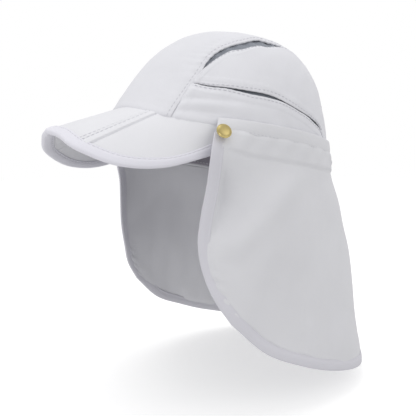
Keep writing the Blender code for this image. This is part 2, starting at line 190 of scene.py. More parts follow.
# Flap folds: azimuth at the top, azimuth at the hem, half width, share of FLAP_FOLD_DEPTH, drop share where it starts
FLAP_FOLDS = (
    (14.0, -33.0, 13.0, 0.7, 0.16),
    (-10.0, -60.0, 13.0, -0.4, 0.16),
    (36.0, 24.0, 9.0, -0.5, 0.2),
    (54.0, 50.0, 9.0, 0.8, 0.15),
    (76.0, 78.0, 9.0, -0.8, 0.2),
)


def ease(share):
    share = np.clip(share, 0.0, 1.0)
    return share * share * (3.0 - 2.0 * share)


def bump(distance, width):
    """A soft hump, 1 in its middle and close to 0 beyond its width."""
    return np.exp(-(distance / width) ** 2)


def curve(rows, column, at):
    """Smooth line through a table's rows, by cubic pieces whose slopes come from their neighbours."""
    table = np.array(rows, float)
    x = table[:, 0]
    y = table[:, column]
    steps = np.diff(y) / np.diff(x)
    slopes = np.concatenate([steps[:1], (steps[:-1] + steps[1:]) / 2, steps[-1:]])
    at = np.clip(at, x[0], x[-1])
    i = np.clip(np.searchsorted(x, at) - 1, 0, len(x) - 2)
    width = x[i + 1] - x[i]
    t = (at - x[i]) / width
    start = (2 * t**3 - 3 * t**2 + 1) * y[i] + (t**3 - 2 * t**2 + t) * width * slopes[i]
    end = (3 * t**2 - 2 * t**3) * y[i + 1] + (t**3 - t**2) * width * slopes[i + 1]
    return start + end


def lean(x, y, z):
    """Turns a point of the crown's own frame back by its tilt."""
    return np.stack([x, y * np.cos(CROWN_TILT) + z * np.sin(CROWN_TILT),
                     z * np.cos(CROWN_TILT) - y * np.sin(CROWN_TILT)], -1)


# Crown surface
def profile(azimuth):
    (_, plan_front, rise_front), (_, plan_side, rise_side), (_, plan_back, rise_back) = CROWN_PROFILE
    along = np.sin(azimuth)
    front = np.clip(-along, 0, 1) ** 2
    back = np.clip(along, 0, 1) ** 2
    plan = plan_side + front * (plan_front - plan_side) + back * (plan_back - plan_side)
    rise = rise_side + front * (rise_front - rise_side) + back * (rise_back - rise_side)
    return plan, rise


def rim_radius(azimuth):
    across = np.abs(np.cos(azimuth) / HEAD_HALF_WIDTH) ** RIM_SQUARENESS
    along = np.abs(np.sin(azimuth) / HEAD_HALF_LENGTH) ** RIM_SQUARENESS
    return (across + along) ** (-1 / RIM_SQUARENESS)


def crown_point(azimuth, latitude):
    plan, rise = profile(azimuth)
    latitude = np.clip(latitude, 1e-6, np.pi / 2 - 1e-6)
    reach = rim_radius(azimuth) * np.cos(latitude) ** plan
    height = CROWN_HEIGHT * np.sin(latitude) ** rise
    y = reach * np.sin(azimuth) + CROWN_TOP_SHIFT * np.sin(latitude) ** 2
    return lean(reach * np.cos(azimuth), y, height)


def latitude_at(azimuth, height):
    rise = profile(azimuth)[1]
    return np.arcsin(np.clip(height / CROWN_HEIGHT, 0, 1) ** (1 / rise))


def brim_seam_height(across):
    """Height of the arched brim seam, from the middle of the brim at 0 to its end at 1."""
    share = np.clip(np.abs(across), 0, 1)
    return BRIM_SEAM_LOW + BRIM_SEAM_RISE * (0.5 + 0.5 * np.cos(np.pi * share)) ** 1.5


def crown_lower_edge(azimuth):
    """Height of the crown's lower edge: the arched brim seam in front, the rim at the sides and back."""
    turn = np.abs(np.degrees(azimuth) + 90.0)
    height = brim_seam_height(turn / BRIM_SPREAD) - SEAM_OVERLAP
    return height * (1 - ease((turn - BRIM_SPREAD - 1.0) / BRIM_SEAM_END))


def seam_line(x, shares):
    """Azimuth and latitude along the crown at a constant distance x from its middle plane, front to back."""
    far = HEAD_HALF_LENGTH * (1 - (abs(x) / HEAD_HALF_WIDTH) ** RIM_SQUARENESS) ** (1 / RIM_SQUARENESS)
    y = -far * np.cos(np.linspace(0, np.pi, 1200))
    x_safe = max(abs(x), 1e-5)
    azimuth = np.arctan2(y, x_safe)
    plan = profile(azimuth)[0]
    latitude = np.arccos(np.clip(np.hypot(x_safe, y) / rim_radius(azimuth), 0, 1) ** (1 / plan))
    above = latitude >= latitude_at(azimuth, crown_lower_edge(azimuth)) - 1e-9
    azimuth = azimuth[above]
    latitude = latitude[above]
    points = crown_point(azimuth, latitude)
    run = np.concatenate([[0], np.cumsum(np.linalg.norm(np.diff(points, axis=0), axis=1))])
    return np.interp(shares * run[-1], run, azimuth), np.interp(shares * run[-1], run, latitude)


def normals(points):
    across = np.gradient(points, axis=0)
    along = np.gradient(points, axis=1)
    out = np.cross(across, along)
    return out / np.maximum(np.linalg.norm(out, axis=-1, keepdims=True), 1e-12)


def unit(vectors):
    return vectors / np.maximum(np.linalg.norm(vectors, axis=-1, keepdims=True), 1e-12)


def crumple(points, size, seed):
    """Smooth random heights over a surface, -1 to 1, whose hollows are about size across."""
    flat = points.reshape(-1, 3) / size + np.array([seed * 7.3, seed * 3.1, seed * 11.7])
    heights = [noise.noise(Vector(p)) for p in flat]
    return np.array(heights).reshape(points.shape[:2])


# Shader maths
class Value:
    """A shader socket that can be added, multiplied and compared in plain Python."""

    def __init__(self, made, socket):
        self.made = made
        self.socket = socket

    def maths(self, operation, *others):
        return self.made.node("ShaderNodeMath", {"operation": operation}, self, *others)

    def __add__(self, other):
        return self.maths("ADD", other)

    def __radd__(self, other):
        return self.maths("ADD", other)

    def __sub__(self, other):
        return self.maths("SUBTRACT", other)

    def __rsub__(self, other):
        return self.made.node("ShaderNodeMath", {"operation": "SUBTRACT"}, other, self)

    def __mul__(self, other):
        return self.maths("MULTIPLY", other)

    def __rmul__(self, other):
        return self.maths("MULTIPLY", other)


class Finish:
    """One material under construction."""

    def __init__(self, name):
        self.material = bpy.data.materials.new(name)
        self.material.use_nodes = True
        self.tree = self.material.node_tree
        self.shader = self.tree.nodes["Principled BSDF"]

    def node(self, kind, settings, *inputs, output=0, **named):
        made = self.tree.nodes.new(kind)
        for key, value in settings.items():
            if key == "stops":
                self.stops(made.color_ramp, value)
            else:
                setattr(made, key, value)
        for key, value in [*enumerate(inputs), *named.items()]:
            self.feed(made.inputs[key.replace("_", " ") if isinstance(key, str) else key], value)
        return Value(self, made.outputs[output])

    def stops(self, ramp, stops):
        while len(ramp.elements) < len(stops):
            ramp.elements.new(0.5)
        for element, (place, colour) in zip(ramp.elements, stops):
            element.position = place
            element.color = (*colour, 1.0)

    def feed(self, socket, value):
        if isinstance(value, Value):
            self.tree.links.new(value.socket, socket)
        elif value is not None:
            socket.default_value = value

    def set(self, name, value):
        self.feed(self.shader.inputs[name], value)

    def mix(self, share, first, second):
        return self.node("ShaderNodeMix", {"data_type": "RGBA"}, share, None, None, None, None, None, first, second,
                         output=2)

    def noise(self, place, scale, detail):
        return self.node("ShaderNodeTexNoise", {}, Vector=place, Scale=scale, Detail=detail)


def tone(rgb):
    """A screen colour of 0 to 255 as the linear colour that a shader takes."""
    share = [v / 255 for v in rgb]
    return tuple(v / 12.92 if v <= 0.04045 else ((v + 0.055) / 1.055) ** 2.4 for v in share)


def darker(colour, share):
    return (*[v * share for v in colour], 1.0)


THREAD_PITCH = 0.00055
WEAVE_HEIGHT = 0.00006


def woven(name, rgb, shade=0.93, sheen=0.15, roughness=0.86, weave=1.0, mottle=1.0):
    """Plain-woven cloth: two sets of threads over and under, slight unevenness of tone and a soft nap."""
    made = Finish(name)
    colour = tone(rgb)
    flat = made.node("ShaderNodeUVMap", {"uv_map": "cloth"})
    parts = made.tree.nodes.new("ShaderNodeSeparateXYZ")
    made.feed(parts.inputs[0], flat)
    across = Value(made, parts.outputs[0]) * (2 * pi / THREAD_PITCH)
    along = Value(made, parts.outputs[1]) * (2 * pi / THREAD_PITCH)
    warp = across.maths("SINE")
    weft = along.maths("SINE")
    over = warp * weft
    place = made.node("ShaderNodeTexCoord", {}, output=3)
    slub = made.noise(place, 900.0, 2.0)
    patches = made.noise(place, 38.0, 3.0)
    share = (over * 0.18 * weave + slub * 0.25 + patches * 0.75 * mottle).maths("MULTIPLY", 1.0)
    made.set("Base Color", made.mix(share, (*colour, 1.0), darker(colour, shade)))
    made.set("Roughness", slub * 0.12 + (roughness - 0.06))
    height = over * 0.5 + slub * 0.8 + patches * 0.6
    made.set("Normal", made.node("ShaderNodeBump", {}, Height=height, Strength=0.35, Distance=WEAVE_HEIGHT * 2))
    made.set("Sheen Weight", sheen)
    made.set("Sheen Roughness", 0.5)
    made.set("Specular IOR Level", 0.25)
    return made.material


def mesh_cloth(name, rgb, dark):
    """Fine open mesh: small round holes in staggered rows, painted darker inside as painted shade of the cap's inside
    seen through them.
    """
    made = Finish(name)
    flat = made.node("ShaderNodeUVMap", {"uv_map": "cloth"})
    parts = made.tree.nodes.new("ShaderNodeSeparateXYZ")
    made.feed(parts.inputs[0], flat)
    pitch = 0.0016
    across = Value(made, parts.outputs[0])
    along = Value(made, parts.outputs[1])
    first = ((across + along) * (2 * pi / pitch)).maths("COSINE")
    second = ((across - along) * (2 * pi / pitch)).maths("COSINE")
    holes = (first * second).maths("MULTIPLY", 0.5) + 0.5
    edge = made.node("ShaderNodeValToRGB", {"stops": ((0.45, (0, 0, 0)), (0.75, (1, 1, 1)))}, holes)
    place = made.node("ShaderNodeTexCoord", {}, output=3)
    slub = made.noise(place, 500.0, 2.0)
    colour = tone(rgb)
    thread = made.mix(slub, (*colour, 1.0), darker(colour, 0.8))
    # The holes take the dark colour: painted shade seen through them
    made.set("Base Color", made.mix(edge, thread, (*tone(dark), 1.0)))
    made.set("Roughness", slub * 0.1 + 0.6)
    made.set("Normal", made.node("ShaderNodeBump", {"invert": True}, Height=edge, Strength=0.5, Distance=0.0003))
    made.set("Sheen Weight", 0.1)
    return made.material


def thread(name, rgb):
    """Twisted sewing thread."""
    made = Finish(name)
    place = made.node("ShaderNodeTexCoord", {}, output=3)
    slub = made.noise(place, 2500.0, 1.0)
    colour = tone(rgb)
    made.set("Base Color", made.mix(slub, (*colour, 1.0), darker(colour, 0.85)))
    made.set("Roughness", slub * 0.2 + 0.5)
    made.set("Sheen Weight", 0.1)
    return made.material


def brass(name, rgb):
    """Satin brass, a little duller in patches, with fine turning marks."""
    made = Finish(name)
    place = made.node("ShaderNodeTexCoord", {}, output=3)
    patches = made.noise(place, 300.0, 3.0)
    fine = made.noise(place, 4000.0, 2.0)
    colour = tone(rgb)
    made.set("Base Color", made.mix(patches, (*colour, 1.0), darker(colour, 0.82)))
    made.set("Metallic", 1.0)
    made.set("Roughness", patches * 0.16 + fine * 0.06 + 0.22)
    made.set("Normal", made.node("ShaderNodeBump", {}, Height=fine, Strength=0.12, Distance=0.0001))
    return made.material


# Pieces
def keep(mesh, name, look, nodes, smooth=True):
    """Makes a finished mesh an object, in its place, riding on the cap and standing for its CAD nodes."""
    data = bpy.data.meshes.new(name)
    mesh.to_mesh(data)
    mesh.free()
    if smooth:
        data.shade_smooth()
    made = bpy.data.objects.new(name, data)
    bpy.context.scene.collection.objects.link(made)
    data.materials.append(look)
    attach(made, "root")
    if nodes:
        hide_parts(*nodes)
    return made


def cloth(name, points, thickness, side, look, nodes=()):
    """A fine grid laid on the given points, with the cloth's own lengths as its UV map, and a wall on one side."""
    rows, columns = points.shape[:2]
    mesh = bmesh.new()
    bmesh.ops.create_grid(mesh, x_segments=rows - 1, y_segments=columns - 1, size=0.5)
    across = np.concatenate([[0], np.cumsum(np.linalg.norm(np.diff(points, axis=0), axis=-1).mean(1))])
    along = np.concatenate([[0], np.cumsum(np.linalg.norm(np.diff(points, axis=1), axis=-1).mean(0))])
    lengths = mesh.loops.layers.uv.new("cloth")
    place = {}
    for vertex in mesh.verts:
        i = round((vertex.co.x + 0.5) * (rows - 1))
        j = round((vertex.co.y + 0.5) * (columns - 1))
        vertex.co = points[i, j]
        place[vertex] = (across[i], along[j])
    for face in mesh.faces:
        for corner in face.loops:
            corner[lengths].uv = place[corner.vert]
    made = keep(mesh, name, look, nodes)
    wall = made.modifiers.new("Wall", "SOLIDIFY")
    wall.thickness = thickness
    wall.offset = side
    return made


STITCH_BATCH = 40


def stitches(name, lines, look, pitch=STITCH_PITCH, length=STITCH_LENGTH, radius=STITCH_RADIUS):
    """Rows of short threads along lines; each line is a list of points and the way out of the cloth at each."""
    places = []
    for points, out in lines:
        run = np.concatenate([[0], np.cumsum(np.linalg.norm(np.diff(points, axis=0), axis=1))])
        count = max(int(run[-1] / pitch), 1)
        for at in (np.arange(count) + 0.5) * run[-1] / count:
            before, centre, after = [np.array([np.interp(at + d, run, points[:, k]) for k in range(3)])
                                     for d in (-1e-3, 0, 1e-3)]
            up = np.array([np.interp(at, run, out[:, k]) for k in range(3)])
            ahead = unit(after - before)
            aside = unit(np.cross(up, ahead))
            up = np.cross(ahead, aside)
            turn = Matrix(np.stack([aside * radius, ahead * length / 2, up * radius], 1)).to_4x4()
            places.append(Matrix.Translation(centre) @ turn @ Matrix.Rotation(pi / 2, 4, "X"))
    whole = bmesh.new()
    batch_data = bpy.data.meshes.new("stitch_batch")
    for start in range(0, len(places), STITCH_BATCH):
        batch = bmesh.new()
        for matrix in places[start:start + STITCH_BATCH]:
            bmesh.ops.create_uvsphere(batch, u_segments=6, v_segments=4, radius=1.0, matrix=matrix)
        batch.to_mesh(batch_data)
        batch.free()
        whole.from_mesh(batch_data)
    bpy.data.meshes.remove(batch_data)
    bmesh.ops.recalc_face_normals(whole, faces=whole.faces)
    return keep(whole, name, look, ())


def place(points, mirror):
    """Puts a patch of the wearer's left side on either side, with its normals outward."""
    if mirror > 0:
        return points
    return (points * np.array([-1, 1, 1]))[::-1]


def mirrored(line, mirror):
    points, out = line
    return points * np.array([mirror, 1, 1]), out * np.array([mirror, 1, 1])


def blend(low, high, shares):
    return low[:, None] + (high - low)[:, None] * shares[None]


# Sizes of seams and folds
SEAM_DIP = 0.0006
SEAM_DIP_WIDTH = 0.0011
FELL_WIDTH = 0.0062
FELL_HEIGHT = 0.00035
TOPSTITCH_INSET = 0.0024
STITCH_DIP = 0.0003
STITCH_DIP_WIDTH = 0.0007
PUCKER_PITCH = 0.0058
PUCKER_HEIGHT = 0.00028
PUCKER_REACH = 0.0075


def edge_shape(distance):
    """Height of cloth near a seamed edge: a dip into the seam, then the raised fold of the seam allowance."""
    raised = FELL_HEIGHT * (1 - ease((distance - FELL_WIDTH) / 0.0012))
    sewn = STITCH_DIP * bump(distance - TOPSTITCH_INSET, STITCH_DIP_WIDTH)
    return raised - SEAM_DIP * bump(distance, SEAM_DIP_WIDTH) - sewn


def puckers(run, distance, seed=0.0, height=PUCKER_HEIGHT, reach=PUCKER_REACH):
    """Small folds that a line of stitches pulls across a seam; run is the length along the seam."""
    wander = 0.9 * np.sin(run / 0.021 + seed) + 0.6 * np.sin(run / 0.0083 + 2.1 * seed)
    strength = 0.55 + 0.45 * np.sin(run / 0.034 + 1.7 * seed)
    return height * strength * np.sin(2 * pi * run / PUCKER_PITCH + 2.2 * wander) * np.exp(-distance / reach)


def graded(length, count, ends):
    """Stations over 0 to length: close together near each end, as given in metres, and even between them."""
    inner = np.linspace(ends[-1], length - ends[-1], count)[1:-1]
    return np.concatenate([ends, inner, length - np.array(ends)[::-1]])


VENT_STAND_IN = 0.0022
EDGE_STATIONS = (0.0, 0.0005, 0.001, 0.0016, 0.0024, 0.0034, 0.0046, 0.0058, 0.0068, 0.0078)


def run_along(points, axis):
    steps = np.linalg.norm(np.diff(points, axis=axis), axis=-1)
    start = np.zeros_like(np.take(steps, [0], axis=axis))
    return np.concatenate([start, np.cumsum(steps, axis=axis)], axis=axis)


# Crown
def build_centre(looks):
    half = CENTRE_HALF_WIDTH
    lines = graded(2 * half, 48, EDGE_STATIONS) - half
    shares = np.linspace(0, 1, 241)
    stand_in = curve(VENT_LINE, 2, shares) * 0.001 / VENT_STAND_IN
    columns = []
    for x in lines:
        mirror = np.array([np.sign(x), 1, 1])
        column = crown_point(*seam_line(x, shares)) * mirror
        inner = crown_point(*seam_line(abs(x) - VENT_STAND_IN, shares)) * mirror
        near = ease((abs(x) - half + 0.016) / 0.016)
        columns.append(column + (inner - column) * (stand_in * near)[:, None])
    points = np.stack(columns, 0)
    run = run_along(points, 1)
    distance = (half - np.abs(lines))[:, None] + 0 * run
    side = np.sign(lines)[:, None]
    height = edge_shape(distance) + puckers(run, distance, 1.0 + side)
    temple = bump(run - 0.052, 0.02)
    height += 0.0004 * temple * np.sin(2 * pi * run / 0.0066 + 90 * distance + 2.5 * np.sin(run / 0.011)) * np.exp(
        -distance / 0.008)
    height += 0.0003 * (1 - ease((run - 0.004) / 0.002)) - 0.0008 * bump(run, 0.0012)
    height += 0.0010 * crumple(points, 0.036, 1) + 0.0004 * crumple(points, 0.014, 2)
    points = points + normals(points) * height[..., None]
    cloth("crown_centre_cloth", points, CLOTH, -1, looks["crown"], ["crown_centre_panel"])
    out = normals(points)
    inset = [np.argmin(np.abs(lines - sign * (half - TOPSTITCH_INSET))) for sign in (-1, 1)]
    rows = [(points[i] + out[i] * STITCH_RADIUS * 0.4, out[i]) for i in inset]
    stitches("centre_seam_stitches", rows, looks["thread"])


def build_sides(looks):
    seam_x = CENTRE_HALF_WIDTH
    along = np.linspace(0, 1, 161)
    rows = np.array(SLIT_LINE)
    slit_azimuth = rows[0, 0] + (rows[-1, 0] - rows[0, 0]) * along
    slit_latitude = np.radians(curve(SLIT_LINE, 1, slit_azimuth))
    slit_width = np.maximum(curve(SLIT_LINE, 2, slit_azimuth), 0.15) * 0.001 / CROWN_HEIGHT
    slit_azimuth = np.radians(slit_azimuth)
    whole = np.linspace(0, 1, 401)
    slit_share = np.interp(slit_latitude[0], seam_line(seam_x, whole)[1][:120], whole[:120])
    seam_stitches, slit_stitches = [], []

    # Upper panel, from the slit to the centre seam and its vent
    edge = np.array(EDGE_STATIONS[:8]) / 0.06
    across = np.concatenate([edge, np.linspace(edge[-1], 1 - edge[-1], 40)[1:-1], 1 - edge[::-1]])
    sway = ease((along - 0.7) / 0.3) * radians(0.8)
    shares = np.linspace(slit_share + 0.004, 1, len(along))
    top_azimuth, top_latitude = seam_line(seam_x, shares)
    opening = curve(VENT_LINE, 1, shares) * VENT_OPENING / VENT_RISE
    top_latitude = top_latitude - np.maximum(opening, 0)
    low_latitude = np.minimum(slit_latitude + slit_width * 0.5, top_latitude - radians(1.5))
    azimuth = blend(slit_azimuth + sway, top_azimuth, across)
    latitude = blend(low_latitude, top_latitude, across)
    points = crown_point(azimuth, latitude)
    points[..., 0] = np.maximum(points[..., 0], seam_x)
    upper_run = run_along(points, 0)
    up = run_along(points, 1)
    down = up[:, -1:] - up
    open_vent = np.clip(opening / 0.03, 0, 1)[:, None]
    height = edge_shape(up) * 0.8 + edge_shape(down) * (1 - 0.4 * open_vent)
    height += puckers(upper_run, down, 3.0) * (1 - open_vent) + 0.6 * puckers(upper_run, up, 4.0)
    height += 0.0012 * crumple(points, 0.032, 3) + 0.00045 * crumple(points, 0.012, 4)
    height -= 0.0012 * open_vent * bump(down, 0.004)
    points = points + normals(points) * height[..., None]
    upper = points

    # Lower panel, from the rim or brim seam to the slit, its front edge along the centre seam
    edge = np.array(EDGE_STATIONS[:8]) / 0.042
    across = np.concatenate([edge[:5], np.linspace(edge[4], 1 - edge[-1], 34)[1:-1], 1 - edge[::-1]])
    front_azimuth, front_latitude = seam_line(seam_x, across * (slit_share - 0.002))
    low_azimuth = np.linspace(front_azimuth[0], slit_azimuth[-1] - radians(4.0), len(along))
    low_latitude = latitude_at(low_azimuth, crown_lower_edge(low_azimuth))
    high_latitude = np.maximum(slit_latitude - slit_width * 0.5, low_latitude + radians(1.2))
    azimuth = blend(low_azimuth, slit_azimuth - 2.5 * sway, across)
    latitude = blend(low_latitude, high_latitude, across)
    fade = (1 - along)[:, None] ** 3
    azimuth = azimuth + fade * (front_azimuth - azimuth[0])[None]
    latitude = latitude + fade * (front_latitude - latitude[0])[None]
    points = crown_point(azimuth, latitude)
    points[..., 0] = np.maximum(points[..., 0], seam_x)
    run = run_along(points, 0)
    up = run_along(points, 1)
    down = up[:, -1:] - up
    height = edge_shape(down) * 0.8 + puckers(run, down, 5.0) * 0.7 + puckers(up, run, 6.0)
    height += edge_shape(run) * 0.9 + 0.0003 * (1 - ease((up - 0.004) / 0.002)) - 0.0007 * bump(up, 0.0012)
    level = CROWN_HEIGHT * np.sin(latitude) ** profile(azimuth)[1] - BRIM_SEAM_LOW
    for place_up, tilt, depth, reach, width in DRAPES:
        line = level - place_up - tilt * run
        height += depth * bump(line, width) * np.exp(-(run / reach) ** 2) * ease(run / 0.004)
    height += 0.0009 * crumple(points, 0.03, 5) + 0.0004 * crumple(points, 0.011, 6)
    points = points + normals(points) * height[..., None]
    lower = points

    for name, mirror in (("left", 1), ("right", -1)):
        cloth("side_upper_cloth_" + name, place(upper, mirror), CLOTH, -1, looks["crown"],
              ["side_upper_panel_" + name])
        cloth("side_lower_cloth_" + name, place(lower, mirror), CLOTH, -1, looks["crown"],
              ["side_lower_panel_" + name])
        upper_out = normals(upper)
        lower_out = normals(lower)
        slit_stitches.append(mirrored((upper[3:-3, 4] + upper_out[3:-3, 4] * 0.0001, upper_out[3:-3, 4]), mirror))
        slit_stitches.append(mirrored((lower[3:-3, -5] + lower_out[3:-3, -5] * 0.0001, lower_out[3:-3, -5]), mirror))
        vent = (shares > 0.19) & (shares < 0.52)
        seam_stitches.append(mirrored((upper[vent, -5] + upper_out[vent, -5] * 0.0001, upper_out[vent, -5]), mirror))
    stitches("slit_stitches", slit_stitches, looks["thread"])
    stitches("vent_stitches", seam_stitches, looks["thread"])

    # Mesh lining behind both openings
    shares = np.linspace(slit_share + 0.05, 0.84, 81)
    top_azimuth, top_latitude = seam_line(CENTRE_HALF_WIDTH - LINING_OVERLAP, shares)
    low_azimuth = np.radians(np.linspace(-47.0, 40.0, 81))
    band_top = crown_lower_edge(low_azimuth) + SWEATBAND_RAISE + SWEATBAND_HEIGHT + 0.003
    low_latitude = np.radians(curve(SLIT_LINE, 1, np.degrees(low_azimuth)) - 3.0)
    low_latitude = np.maximum(low_latitude, latitude_at(low_azimuth, band_top))
    rise = np.linspace(0, 1, 41)
    points = crown_point(blend(low_azimuth, top_azimuth, rise), blend(low_latitude, top_latitude, rise))
    run = run_along(points, 0)
    height = 0.0004 * np.sin(2 * pi * run / 0.011 + 3 * rise[None]) * ease((rise[None] - 0.5) / 0.3)
    flush = bump(rise[None] - 0.86, 0.13)
    points = points - normals(points) * (CLOTH + 0.0012 - 0.0008 * flush - height)[..., None]
    for name, mirror in (("left", 1), ("right", -1)):
        cloth("vent_mesh_" + name, place(points, mirror), BINDING * 0.6, -1, looks["mesh"],
              ["mesh_lining_" + name])


# Drape folds of the lower side panel: height up from the brim seam, slope, depth, reach along, half width
DRAPES = (
    (0.0060, 0.06, -0.0007, 0.038, 0.0022),
    (0.0105, 0.10, 0.0006, 0.046, 0.0028),
    (0.0155, 0.07, -0.0007, 0.030, 0.0020),
    (0.0205, 0.03, 0.0005, 0.038, 0.0028),
    (0.0260, -0.06, -0.0005, 0.022, 0.0022),
    (0.0180, -0.16, 0.0006, 0.085, 0.0060),
)


def build_sweatband(looks):
    azimuth = np.radians(np.linspace(-269.9, 89.9, 241))
    low = crown_lower_edge(azimuth) + SWEATBAND_RAISE
    shares = np.linspace(0, 1, 13)
    heights = blend(low, low + SWEATBAND_HEIGHT, shares)
    around = np.repeat(azimuth[:, None], len(shares), 1)
    points = crown_point(around, latitude_at(around, heights))
    points = points - normals(points) * (CLOTH + LAYER_GAP)
    run = run_along(points, 0)
    height = 0.0004 * bump(shares[None] - 0.06, 0.05) + 0.0004 * bump(shares[None] - 0.94, 0.05)
    height = height + 0.00025 * np.sin(run / 0.0045) * bump(shares[None] - 0.14, 0.1)
    points = points - normals(points) * height[..., None]
    cloth("sweatband_cloth", points, CLOTH, -1, looks["band"], ["sweatband"])
    out = -normals(points)
    rows = [(points[:, j] + out[:, j] * (CLOTH + 0.0001), out[:, j]) for j in (1, 11)]
    stitches("sweatband_stitches", rows, looks["thread"])


# Brim
def brim_point(across, out):
    """across runs -1 to 1 over the brim, out runs 0 at the crown to 1 at the edge."""
    azimuth = np.radians(-90 + BRIM_SPREAD * across)
    seam = crown_point(azimuth, latitude_at(azimuth, brim_seam_height(across)))
    seam = seam * np.array([1 - CLOTH / HEAD_HALF_WIDTH, 1 - CLOTH / HEAD_HALF_LENGTH, 1])
    seam = seam - np.array([0, 0, BRIM_TUCK + BRIM_THICKNESS / 2])
    side = np.sign(across)
    share = np.abs(across)
    edge = np.stack([side * curve(BRIM_LINE, 1, share) * BRIM_HALF_WIDTH,
                     -curve(BRIM_LINE, 2, share) * BRIM_FRONT,
                     BRIM_NOSE_HEIGHT - curve(BRIM_LINE, 3, share) * BRIM_ARCH], -1)
    return seam + (edge - seam) * out[..., None]


FOLD_GROOVE = 0.0012
FOLD_GROOVE_WIDTH = 0.0006
FOLD_TAPE_WIDTH = 0.0082
FOLD_STITCH_LINES = (0.0066, 0.0096)
FOLD_TAPE_HEIGHT = 0.0006


def brim_relief(points, across):
    """Height of the cloth on the brim: a groove at each fold and the raised tape sewn beside it."""
    height = 0 * across
    for side in (-1, 1):
        column = np.argmin(np.abs(across[:, 0] - side * FOLD_SHARE))
        steps = unit(points[min(column + 1, len(points) - 1)] - points[column - 1])
        distance = np.sum((points - points[column][None]) * steps[None], -1) * -side
        height -= FOLD_GROOVE * bump(distance, FOLD_GROOVE_WIDTH)
        on_tape = ease((distance - 0.0004) / 0.0008) * (1 - ease((distance - FOLD_TAPE_WIDTH) / 0.0009))
        height += FOLD_TAPE_HEIGHT * on_tape
        height -= 0.0005 * bump(distance - FOLD_TAPE_WIDTH + 0.0018, 0.0007)
        height -= 0.0003 * bump(distance - FOLD_STITCH_LINES[1], 0.0006)
    return height


def build_brim(looks):
    inner = FOLD_SHARE + np.linspace(-0.15, 0.04, 64)
    stations = np.concatenate([np.linspace(0, inner[0], 16)[:-1], inner, np.linspace(inner[-1], 1, 22)[1:]])
    stations = np.concatenate([-stations[:0:-1], stations])
    outs = np.linspace(0, 1, 61)
    across, out = np.meshgrid(stations, outs, indexing="ij")
    middle = brim_point(across, out)
    up = normals(middle)
    up = up * np.sign(up[..., 2:3])
    lift = brim_relief(middle, across) + 0.0003 * crumple(middle, 0.05, 7) + 0.00012 * crumple(middle, 0.012, 8)
    top = middle + up * (BRIM_THICKNESS / 2 + lift - 0.0001)[..., None]
    under = middle - up * (BRIM_THICKNESS / 2 + 0.5 * lift - 0.0001)[..., None]
    across_top = np.concatenate([top, under[:, ::-1]], 1)
    cloth_ring("brim_cloth", across_top, looks["brim"],
               ["brim_centre_leaf", "brim_left_leaf", "brim_right_leaf"])
    rows = []
    out_dir = up
    for side in (-1, 1):
        for reach in FOLD_STITCH_LINES:
            start = np.argmin(np.abs(stations - side * FOLD_SHARE))
            gaps = np.linalg.norm(top[:, 30] - top[start, 30], axis=-1)
            wanted = np.sign((stations - side * FOLD_SHARE) * -side) == np.sign(reach)
            column = np.argmin(np.where(wanted, np.abs(gaps - abs(reach)), 1.0))
            rows.append((top[column, 2:-6] + out_dir[column, 2:-6] * 0.0001, out_dir[column, 2:-6]))
    stitches("brim_fold_stitches", rows, looks["thread"])

    # Binding round the edge
    inset_out = 1 - BRIM_BINDING_WIDTH / (BRIM_FRONT - HEAD_HALF_LENGTH)
    lines = np.linspace(-1, 1, 241)
    grid_across, grid_out = np.meshgrid(lines, np.array([inset_out, 0.999, 1.0]), indexing="ij")
    ring = brim_point(grid_across, grid_out)
    normal = normals(ring)
    edge = ring[:, 2]
    away = unit(edge - ring[:, 0])
    inset = edge - away * BRIM_BINDING_WIDTH
    wrap("brim_binding_cloth", edge, inset, normal[:, 2], normal[:, 0], BRIM_THICKNESS / 2, 0.0002,
         looks["binding"], ["brim_edge_binding"], looks["thread"])


def cloth_ring(name, points, look, nodes):
    """A flat body of cloth over a board: the grid goes over the top and back underneath, its ends closed."""
    rows, columns = points.shape[:2]
    mesh = bmesh.new()
    bmesh.ops.create_grid(mesh, x_segments=rows - 1, y_segments=columns - 1, size=0.5)
    across = np.concatenate([[0], np.cumsum(np.linalg.norm(np.diff(points, axis=0), axis=-1).mean(1))])
    along = np.concatenate([[0], np.cumsum(np.linalg.norm(np.diff(points, axis=1), axis=-1).mean(0))])
    lengths = mesh.loops.layers.uv.new("cloth")
    place_of = {}
    ends = {}
    for vertex in mesh.verts:
        i = round((vertex.co.x + 0.5) * (rows - 1))
        j = round((vertex.co.y + 0.5) * (columns - 1))
        vertex.co = points[i, j]
        place_of[vertex] = (across[i], along[j])
        ends[i, j] = vertex
    for face in mesh.faces:
        for corner in face.loops:
            corner[lengths].uv = place_of[corner.vert]
    half = columns // 2
    for j in range(half - 1):
        for i, flip in ((0, 1), (rows - 1, -1)):
            quad = [ends[i, j], ends[i, j + 1], ends[i, columns - 2 - j], ends[i, columns - 1 - j]]
            mesh.faces.new(quad[::flip])
    for i in range(rows - 1):
        mesh.faces.new([ends[i, 0], ends[i, columns - 1], ends[i + 1, columns - 1], ends[i + 1, 0]])
    bmesh.ops.recalc_face_normals(mesh, faces=mesh.faces)
    return keep(mesh, name, look, nodes)


WRAP_TURNS = 9


